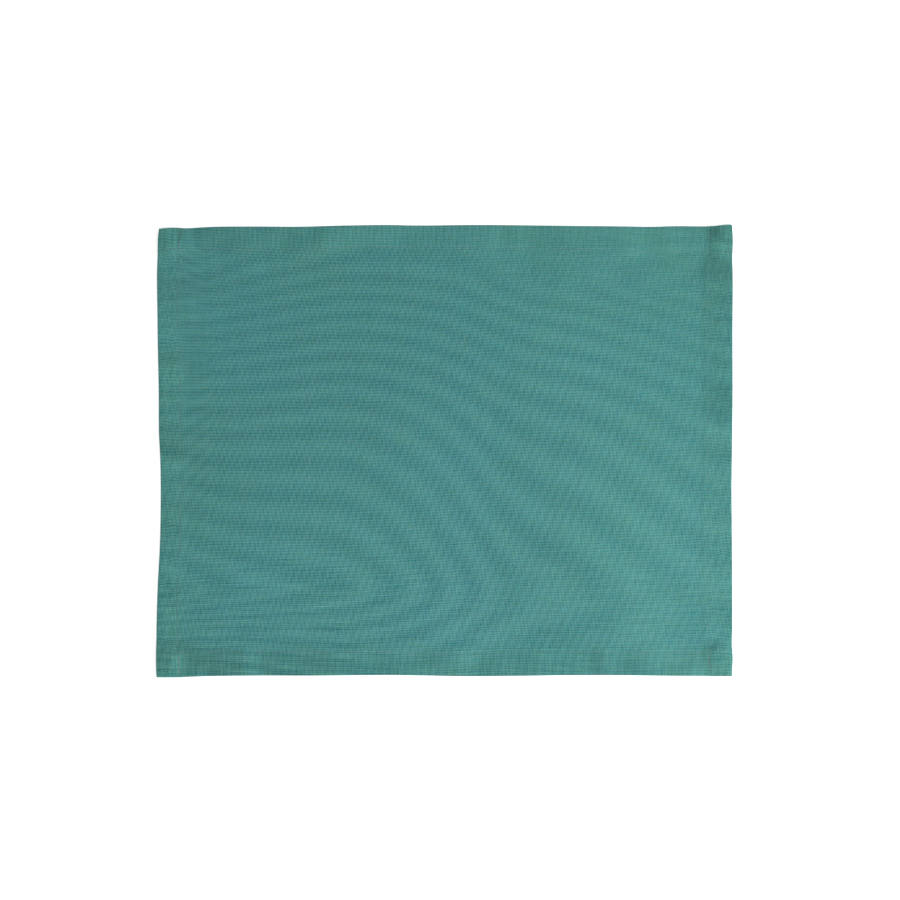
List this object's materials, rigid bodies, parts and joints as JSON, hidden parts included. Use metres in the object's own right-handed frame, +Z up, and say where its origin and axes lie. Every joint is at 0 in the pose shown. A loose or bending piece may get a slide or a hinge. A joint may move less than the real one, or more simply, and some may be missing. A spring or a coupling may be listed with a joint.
{
  "type": "fabric placemat",
  "caption": "Flat rectangular placemat of plain-weave cotton, its edges turned under twice and sewn, with thicker corners where the hems cross.",
  "frame": {"origin": "middle of the flat underside, at the centre of the mat's bounding box in plan", "axes": "+X along the longer side, +Y along the shorter side, +Z up out of the mat's face"},
  "size_m": [0.452, 0.3542, 0.0042],
  "materials": {
    "teal_cotton": "matt plain weave, dyed in the yarn"
  },
  "bodies": {
    "root": {"placemat_cloth": "teal_cotton"}
  },
  "joints": []
}
